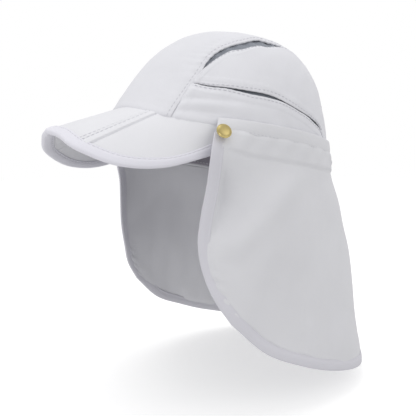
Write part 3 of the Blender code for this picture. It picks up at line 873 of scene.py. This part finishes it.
def wrap(name, edge, inset, edge_normal, inset_normal, half, gap, look, nodes, thread_look,
         both=True, hem_roll=1.0, ripple=0.0):
    """A binding folded round an edge: flat on each face and round over the edge, with a row of stitches near its
    inner side."""
    away = unit(edge - inset)
    width = np.linalg.norm(edge - inset, axis=-1)
    radius = half + gap
    lines = []
    for share in (0.0, 0.06, 0.12, 0.2, 0.3, 0.42, 0.55, 0.7, 0.85):
        base = inset + (edge - inset) * share
        normal = unit(inset_normal + (edge_normal - inset_normal) * share)
        dent = 0.00035 * bump(share * width - 0.0013, 0.0005) + 0.0004 * bump(share, 0.05)
        swell = 0.00028 * hem_roll * bump(share - 0.55, 0.25)
        lines.append(base + normal * (radius - dent + swell)[:, None])
    front = list(lines)
    for turn in np.linspace(0, pi, WRAP_TURNS + 2)[1:-1]:
        lines.append(edge + edge_normal * (radius * cos(turn)) + away * (radius * 0.9 * sin(turn)))
    for share in (0.85, 0.7, 0.55, 0.42, 0.3, 0.2, 0.12, 0.06, 0.0)[:9 if both else 2]:
        base = inset + (edge - inset) * share
        normal = unit(inset_normal + (edge_normal - inset_normal) * share)
        dent = 0.00035 * bump(share * width - 0.0013, 0.0005) + 0.0004 * bump(share, 0.05)
        swell = 0.00028 * hem_roll * bump(share - 0.55, 0.25)
        lines.append(base - normal * (radius - dent + swell)[:, None])
    points = np.stack(lines, 1)
    if ripple:
        run = run_along(points[:, :1], 0)
        wave = ripple * np.sin(run / 0.0021 + np.sin(run / 0.013)) * bump(np.linspace(-1, 1, points.shape[1])[None], 0.8)
        points = points + edge_normal[:, None] * wave[..., None]
    if np.mean(np.sum(normals(points)[:, 2] * inset_normal, -1)) < 0:
        points = points[:, ::-1]
    made = cloth(name, points, HEM_CLOTH, 1, look, nodes)
    top = HEM_CLOTH
    share = TOPSTITCH_BINDING / np.mean(width)
    base = inset + (edge - inset) * share
    normal = unit(inset_normal + (edge_normal - inset_normal) * share)
    lift = radius + top - 0.0003
    rows = [(base + normal * lift, normal)]
    if both:
        rows.append((base - normal * lift, -normal))
    sewn = stitches(name.replace("_cloth", "") + "_stitches", rows, thread_look)
    return made, sewn


TOPSTITCH_BINDING = 0.0013


# Neck flap
def flap_top_height(azimuth):
    share = (np.degrees(azimuth) - FLAP_EDGE_AZIMUTH) / (90 - FLAP_EDGE_AZIMUTH)
    return FLAP_TOP_FRONT + (FLAP_TOP_BACK - FLAP_TOP_FRONT) * np.clip(share, 0, 1) ** 0.8


def outside(points, distance):
    """Moves points of the crown outward in plan."""
    flat = points * np.array([1, 1, 0])
    return points + flat / np.linalg.norm(flat, axis=-1, keepdims=True) * distance


def fold_offset(fold, azimuth, drop):
    at_top, at_hem, half_width, depth, start = fold
    middle = at_top + (at_hem - at_top) * drop
    return FLAP_FOLD_DEPTH * depth * ease((drop - start) / 0.3) * np.exp(-((azimuth - middle) / half_width) ** 2)


def flap_rows(side):
    """The flap's section lines from its top edge down; side runs -1 to 1 and its size 1 is a front edge."""
    share = np.abs(side)
    turn = np.where(side < 0, -1.0, 1.0)
    azimuth = np.radians(90 - share * (90 - FLAP_EDGE_AZIMUTH))
    mirror = np.stack([turn, np.ones_like(turn), np.ones_like(turn)], -1)
    top = outside(crown_point(azimuth, latitude_at(azimuth, flap_top_height(azimuth))), FLAP_STANDOFF)
    flare = FLAP_FRONT_FLARE * ease((share - 0.8) / 0.2)
    middle = outside(crown_point(azimuth, latitude_at(azimuth, flap_top_height(azimuth) / 2)), FLAP_STANDOFF)
    middle = outside(middle, flare[..., None] * 0.6)
    rim = outside(crown_point(azimuth, 0 * azimuth), FLAP_STANDOFF)
    behind = ease((0.65 - share) / 0.3)[..., None]
    rim = outside(rim, flare[..., None] + FLAP_BACK_EASE * behind)
    middle = outside(middle, FLAP_BACK_EASE * 0.3 * behind)
    low = -curve(FLAP_LOWER_LINE, 1, share) * FLAP_DROP
    rows = [(0.0, top), (FLAP_RIM_SHARE / 2, middle), (FLAP_RIM_SHARE, rim)]
    for drop, edge, at_edge, at_side, at_quarter, at_back in FLAP_SECTIONS:
        azimuth = 90 - share * (90 - edge)
        knots = ((edge, at_edge), (0.0, at_side), (45.0, at_quarter), (90.0, at_back), (135.0, at_quarter))
        swing = curve(knots, 1, azimuth) * FLAP_SWING
        azimuth = np.radians(azimuth)
        reach = rim_radius(azimuth) + FLAP_STANDOFF + swing
        for fold in FLAP_FOLDS:
            reach = reach + fold_offset(fold, np.degrees(azimuth), drop)
        height = top[..., 2] + (low - top[..., 2]) * drop
        rows.append((drop, np.stack([reach * np.cos(azimuth), reach * np.sin(azimuth), height], -1)))
    return [drop for drop, _ in rows], [points * mirror for _, points in rows]


def flap_point(side, down):
    drops, rows = flap_rows(side)
    rows = np.stack(rows, 0)
    result = np.zeros_like(rows[0])
    slopes = np.gradient(rows, np.array(drops), axis=0)
    for k in range(len(drops) - 1):
        width = drops[k + 1] - drops[k]
        t = ((down - drops[k]) / width)[..., None]
        inside = (t >= 0) & ((t < 1) | (k == len(drops) - 2))
        start = (2 * t**3 - 3 * t**2 + 1) * rows[k] + (t**3 - 2 * t**2 + t) * width * slopes[k]
        end = (3 * t**2 - 2 * t**3) * rows[k + 1] + (t**3 - t**2) * width * slopes[k + 1]
        result = np.where(inside, start + end, result)
    return result


def flap_normal(side, down):
    step = 0.002
    across = flap_point(side - step, down) - flap_point(side + step, down)
    along = flap_point(side, np.minimum(down + step, 1)) - flap_point(side, np.maximum(down - step, 0))
    out = np.cross(along, across)
    return out / np.linalg.norm(out, axis=-1, keepdims=True)


RIM_STEP_DROP = 0.022
RIM_STEP_HEIGHT = 0.0011
SCALLOP_PITCH = 0.019
SCALLOP_HEIGHT = 0.0006
EDGE_PUCKER_PITCH = 0.0092
EDGE_PUCKER_HEIGHT = 0.0008
GATHER_AZIMUTH = 46.0


def flap_relief(points, side, down):
    """Height of the flap's cloth over its plain shape: the rim under it, soft scallops, puckers by the front hem."""
    drop = run_along(points, 1)
    reach = run_along(points, 0)
    from_edge = np.minimum(reach, reach[-1:] - reach)
    azimuth = 90 - np.abs(side) * (90 - FLAP_EDGE_AZIMUTH)
    step_drop = RIM_STEP_DROP + 0.003 * (1 - np.abs(side))
    height = RIM_STEP_HEIGHT * (1 - ease((drop - step_drop + 0.001) / 0.0028)) * ease(drop / 0.004)
    height -= 0.0004 * bump(drop - step_drop - 0.0018, 0.0012)
    wave = np.sin(2 * pi * reach / SCALLOP_PITCH + 1.3 * np.sin(reach / 0.031))
    zone = bump(drop - 0.0145, 0.006)
    height += SCALLOP_HEIGHT * wave * zone
    height += 0.0006 * crumple(points * np.array([1, 1, 1.6]), 0.017, 11) * bump(drop - 0.015, 0.008)
    front = np.exp(-(from_edge / 0.013) ** 2)
    along = ease((drop - 0.098) / 0.012) * (1 - ease((drop - 0.143) / 0.01))
    height += EDGE_PUCKER_HEIGHT * front * along * np.sin(2 * pi * drop / EDGE_PUCKER_PITCH)
    height += 0.0016 * crumple(points, 0.05, 12) * ease((drop - 0.03) / 0.03)
    height += 0.0008 * crumple(points * np.array([1, 1, 0.45]), 0.016, 13) * ease((drop - 0.026) / 0.02)
    place_along = np.abs(side) * (90 - FLAP_EDGE_AZIMUTH)
    for start, start_drop, end, end_drop, depth, width, on_right in FLAP_DENTS:
        share = np.clip((drop - start_drop) / (end_drop - start_drop), 0, 1)
        middle = start + (end - start) * share
        ends = ease((drop - start_drop + 0.02) / 0.035) * (1 - ease((drop - end_drop - 0.005) / 0.03))
        depth = depth * np.where(side < 0, on_right, 1.0)
        height += depth * ends * bump((place_along - middle) * 0.0016, width)
    height -= 0.0005 * bump(drop - FLAP_BAND_WIDTH - 0.0008, 0.0008)
    for slant in (-1, 1):
        line = azimuth - GATHER_AZIMUTH - slant * (drop - 0.018) * 420
        height += 0.0013 * bump(line, 1.3) * bump(drop - 0.015, 0.007)
    below = run_along(points, 1)[:, -1:] - drop
    clear = ease((drop - FLAP_BAND_WIDTH) / 0.0015) * ease((from_edge - FLAP_HEM_WIDTH) / 0.004)
    return height * clear * ease((below - FLAP_HEM_WIDTH) / 0.004)


# Soft dents and ridges down the flap: degrees from the back at the start, drop there, the same at the end, depth, half
# width, share of the depth on the wearer's right
FLAP_DENTS = (
    (117.0, 0.044, 118.0, 0.054, -0.0080, 0.018, 0.0),
    (80.0, 0.034, 117.0, 0.100, 0.0028, 0.014, 0.6),
    (60.0, 0.036, 78.0, 0.150, -0.0016, 0.012, 1.0),
    (44.0, 0.040, 52.0, 0.165, 0.0016, 0.012, 1.0),
    (26.0, 0.030, 30.0, 0.150, -0.0018, 0.012, 1.0),
    (9.0, 0.030, 10.0, 0.150, 0.0014, 0.009, 1.0),
)


def build_flap(looks):
    edge_length = FLAP_TOP_FRONT + FLAP_DROP * FLAP_LOWER_LINE[-1][1]
    half_girth = HEAD_HALF_LENGTH + HEAD_HALF_WIDTH
    band_down = FLAP_BAND_WIDTH / edge_length
    hem_down = 1 - FLAP_HEM_WIDTH / edge_length
    hem_side = 1 - FLAP_HEM_WIDTH / half_girth
    sides = np.concatenate([[1, (1 + hem_side) / 2], np.linspace(hem_side, -hem_side, 221),
                            [-(1 + hem_side) / 2, -1]])
    downs = np.concatenate([np.linspace(0, band_down, 4), np.linspace(band_down, 0.3, 30)[1:],
                            np.linspace(0.3, hem_down, 62)[1:], [(1 + hem_down) / 2, 1]])
    side, down = np.meshgrid(sides, downs, indexing="ij")
    points = flap_point(side, down)
    out = flap_normal(side, down)
    plain = points
    points = points + out * flap_relief(points, side, down)[..., None]
    flap = cloth("neck_flap_cloth", points, FLAP_CLOTH, 0, looks["flap"], ["neck_flap"])

    band_sides = np.linspace(1, -1, 241)
    none = 0 * band_sides
    band, band_stitches = wrap(
        "flap_band_cloth", flap_point(band_sides, none), flap_point(band_sides, none + band_down),
        flap_normal(band_sides, none), flap_normal(band_sides, none + band_down), FLAP_CLOTH / 2, HEM_CLEAR,
        looks["flap"], ["flap_top_band"], looks["thread"], both=False)

    # Hem: down one front edge, round the lower edge and up the other, in the hem cloth whose darker colour is painted
    # shade
    front = np.linspace(band_down * 1.25, 1, 64)
    lower = np.linspace(1, -1, 261)[1:-1]
    edge_side = np.concatenate([0 * front + 1, lower, 0 * front - 1])
    edge_down = np.concatenate([front, 0 * lower + 1, front[::-1]])
    edge = flap_point(edge_side, edge_down)
    edge_normal = flap_normal(edge_side, edge_down)
    inset, inset_normal = inset_line(plain, edge, edge_normal, FLAP_HEM_WIDTH)
    hem, hem_stitches = wrap(
        "flap_hem_cloth", edge, inset, edge_normal, inset_normal, FLAP_CLOTH / 2, HEM_CLEAR,
        looks["hem"], ["flap_edge_hem"], looks["thread"])


def eased_along(vectors, reach):
    """Averages a line of vectors with its neighbours, so that it turns gently."""
    spread = np.exp(-np.linspace(-2, 2, 2 * reach + 1) ** 2)
    padded = np.pad(vectors, ((reach, reach), (0, 0)), mode="edge")
    return np.stack([np.convolve(padded[:, k], spread / spread.sum(), "valid") for k in range(3)], -1)


def inset_line(plain, edge, edge_normal, width):
    """The line on the plain flap at a given distance inside its edge, with the corners eased, and its normals."""
    mesh = bmesh.new()
    rows, columns = plain.shape[:2]
    bmesh.ops.create_grid(mesh, x_segments=rows - 1, y_segments=columns - 1, size=0.5)
    for vertex in mesh.verts:
        vertex.co = plain[round((vertex.co.x + 0.5) * (rows - 1)), round((vertex.co.y + 0.5) * (columns - 1))]
    surface = BVHTree.FromBMesh(mesh)
    mesh.free()
    inward = unit(np.cross(edge_normal, unit(np.gradient(edge, axis=0))))
    if np.mean(np.sum(inward * (plain.mean((0, 1)) - edge), -1)) < 0:
        inward = -inward
    wanted = edge + unit(eased_along(inward, 14)) * width
    found = [surface.find_nearest(Vector(point)) for point in wanted]
    inset = eased_along(np.array([f[0] for f in found]), 3)
    normal = np.array([f[1] for f in found])
    normal = normal * np.sign(np.sum(normal * edge_normal, -1, keepdims=True))
    return inset, unit(eased_along(normal, 5))


def surface_area(points):
    first = np.cross(points[1:, :-1] - points[:-1, :-1], points[:-1, 1:] - points[:-1, :-1])
    second = np.cross(points[1:, 1:] - points[1:, :-1], points[1:, 1:] - points[:-1, 1:])
    return 0.5 * (np.linalg.norm(first, axis=-1) + np.linalg.norm(second, axis=-1)).sum()


# Snaps
def build_snaps(looks):
    """A domed cap with a rolled rim, spun from its section, standing on the hidden post."""
    dome = [(0.0, 1.0)]
    for turn in np.linspace(0.12, 1.0, 9):
        dome.append((0.86 * sin(turn * pi / 2) ** 0.9, 0.62 + 0.38 * cos(turn * pi / 2)))
    rim = [(0.93 + 0.07 * sin(a), 0.42 + 0.2 * cos(a)) for a in np.linspace(0, pi, 8)]
    section = [*dome, (0.885, 0.56), *rim, (0.86, 0.1), (0.36, 0.05), (0.36, -0.35), (0.0, -0.35)]
    for name, mirror in (("left", 1), ("right", -1)):
        side = np.array([mirror * (90 - SNAP_AZIMUTH) / (90 - FLAP_EDGE_AZIMUTH)])
        down = np.array([SNAP_DROP / (FLAP_TOP_FRONT + FLAP_DROP)])
        normal = flap_normal(side, down)[0]
        lift = CLOTH / 2 + HEM_GAP + BINDING + SNAP_CLEARANCE
        centre = flap_point(side, down)[0] + normal * lift
        mesh = bmesh.new()
        line = [mesh.verts.new((r * SNAP_RADIUS, 0, z * SNAP_HEIGHT)) for r, z in section]
        edges = [mesh.edges.new(pair) for pair in zip(line, line[1:])]
        bmesh.ops.spin(mesh, geom=[*line, *edges], cent=(0, 0, 0), axis=(0, 0, 1), angle=2 * pi, steps=64,
                       use_merge=True)
        bmesh.ops.remove_doubles(mesh, verts=mesh.verts, dist=1e-6)
        bmesh.ops.recalc_face_normals(mesh, faces=mesh.faces)
        across = unit(np.cross((0, 0, 1), normal))
        up = np.cross(normal, across)
        turn = Matrix(np.stack([across, up, normal], 1)).to_4x4()
        bmesh.ops.transform(mesh, matrix=Matrix.Translation(centre) @ turn, verts=mesh.verts)
        keep(mesh, "snap_cap_" + name, looks["brass"], ["snap_" + name])


# Studio
SKY_LOW = 0.68
SKY_HIGH = 0.98
OVERHEAD_POWER = 5.0
SIDE_POWER = 2.5
LOW_POWER = 0.5
FLOOR_COLOUR = (0.75, 0.75, 0.75)
FLOOR_GLOW = 0.41


def aim(obj, target):
    obj.rotation_euler = (Vector(target) - obj.location).to_track_quat("-Z", "Y").to_euler()


def lamp(name, place_at, size, power, target=(0, 0, -0.06), colour=(1, 1, 1)):
    data = bpy.data.lights.new(name, "AREA")
    data.shape = "RECTANGLE"
    data.size, data.size_y = size
    data.energy = power
    data.color = colour
    made = bpy.data.objects.new(name, data)
    made.location = place_at
    bpy.context.scene.collection.objects.link(made)
    made.visible_camera = False
    aim(made, target)
    return made


def build_studio():
    scene = bpy.context.scene
    azimuth, elevation = radians(CAMERA_AZIMUTH), radians(CAMERA_ELEVATION)
    back = Vector((sin(azimuth) * cos(elevation), -cos(azimuth) * cos(elevation), sin(elevation)))
    data = bpy.data.cameras.new("camera")
    data.lens = CAMERA_LENS
    data.sensor_width = CAMERA_SENSOR
    data.clip_start = 0.01
    camera = bpy.data.objects.new("camera", data)
    camera.location = Vector(CAMERA_TARGET) + back * CAMERA_DISTANCE
    camera.rotation_euler = (-back).to_track_quat("-Z", "Y").to_euler()
    scene.collection.objects.link(camera)
    scene.camera = camera

    mesh = bmesh.new()
    bmesh.ops.create_grid(mesh, x_segments=1, y_segments=1, size=6.0)
    bmesh.ops.translate(mesh, verts=mesh.verts, vec=(0, 0, FLOOR_HEIGHT))
    floor_data = bpy.data.meshes.new("floor")
    mesh.to_mesh(floor_data)
    mesh.free()
    floor = bpy.data.objects.new("floor", floor_data)
    scene.collection.objects.link(floor)
    made = Finish("pale_floor")
    made.set("Base Color", (*FLOOR_COLOUR, 1.0))
    made.set("Roughness", 0.9)
    made.set("Specular IOR Level", 0.1)
    made.set("Emission Color", (1.0, 1.0, 1.0, 1.0))
    made.set("Emission Strength", FLOOR_GLOW)
    floor_data.materials.append(made.material)
    floor.visible_diffuse = False

    world = bpy.data.worlds.new("studio")
    world.use_nodes = True
    tree = world.node_tree
    background = tree.nodes["Background"]
    background.inputs["Color"].default_value = (1.0, 1.0, 1.0, 1.0)
    place_at = tree.nodes.new("ShaderNodeTexCoord")
    parts = tree.nodes.new("ShaderNodeSeparateXYZ")
    ramp = tree.nodes.new("ShaderNodeMapRange")
    ramp.inputs["From Min"].default_value = 0.0
    ramp.inputs["From Max"].default_value = 1.0
    ramp.inputs["To Min"].default_value = SKY_LOW
    ramp.inputs["To Max"].default_value = SKY_HIGH
    seen = tree.nodes.new("ShaderNodeLightPath")
    choose = tree.nodes.new("ShaderNodeMix")
    choose.inputs["B"].default_value = 1.0
    tree.links.new(place_at.outputs["Generated"], parts.inputs[0])
    tree.links.new(parts.outputs["Z"], ramp.inputs["Value"])
    tree.links.new(seen.outputs["Is Camera Ray"], choose.inputs["Factor"])
    tree.links.new(ramp.outputs["Result"], choose.inputs["A"])
    tree.links.new(choose.outputs["Result"], background.inputs["Strength"])
    scene.world = world
    lamp("overhead", (-0.15, -0.35, 1.5), (1.0, 1.0), OVERHEAD_POWER)
    lamp("side", (1.2, 0.35, 0.75), (0.9, 0.9), SIDE_POWER)
    lamp("low", (0.15, -0.6, -0.17), (0.3, 0.05), LOW_POWER, target=(-0.06, 0.0, -0.08))
    scene.view_settings.view_transform = "Standard"


def main():
    looks = {
        "crown": woven("crown_cloth", (226, 226, 231)),
        "brim": woven("brim_cloth", (230, 230, 234)),
        "binding": woven("binding_cloth", (229, 228, 236)),
        "flap": woven("flap_cloth", (222, 222, 226)),
        # The hem's colour is the flap's cloth made darker: painted shade of the folded hem
        "hem": woven("hem_cloth", (214, 213, 220)),
        "band": woven("sweatband_cloth", (150, 146, 155), shade=0.85),
        # The mesh's second colour is the painted shade in its holes
        "mesh": mesh_cloth("grey_mesh", (156, 161, 171), (94, 98, 107)),
        "thread": thread("white_thread", (210, 210, 216)),
        "brass": brass("snap_brass", (188, 171, 116)),
    }
    build_centre(looks)
    build_sides(looks)
    build_sweatband(looks)
    build_brim(looks)
    build_flap(looks)
    build_snaps(looks)
    build_studio()


main()
